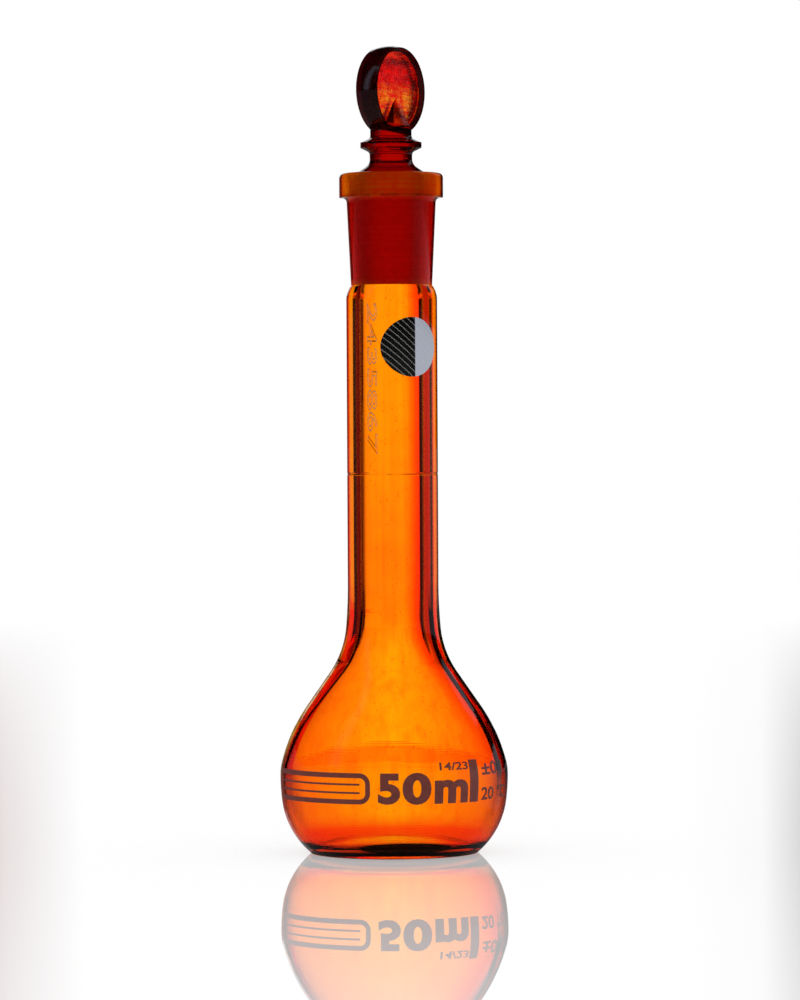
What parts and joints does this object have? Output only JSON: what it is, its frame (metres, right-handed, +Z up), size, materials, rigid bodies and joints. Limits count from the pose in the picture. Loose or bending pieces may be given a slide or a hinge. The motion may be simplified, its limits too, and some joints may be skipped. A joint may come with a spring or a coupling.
{
  "type": "wide-neck volumetric flask with glass stopper",
  "caption": "Amber glass volumetric flask: round bulb, wide neck with a ring mark, ground cone mouth and a flat-headed ground-in glass stopper.",
  "frame": {"origin": "middle of the ring that the flask stands on", "axes": "+Z up along the neck; the front, with the ring mark's print and the foil seal, faces -Y"},
  "size_m": [0.047, 0.047, 0.1659],
  "materials": {
    "amber_glass": "clear amber-stained borosilicate glass, ground inside the mouth",
    "red_amber_glass": "deep red amber-stained pressed glass, ground on the plug",
    "silver_foil": "thin bright foil"
  },
  "bodies": {
    "flask": {"flask": "amber_glass", "foil_seal": "silver_foil"},
    "stopper": {"stopper": "red_amber_glass"}
  },
  "joints": [
    {"name": "stopper_lift", "type": "slide", "parent": "flask", "child": "stopper", "axis": [0, 0, 1], "range_m": [0, 0.04]}
  ]
}
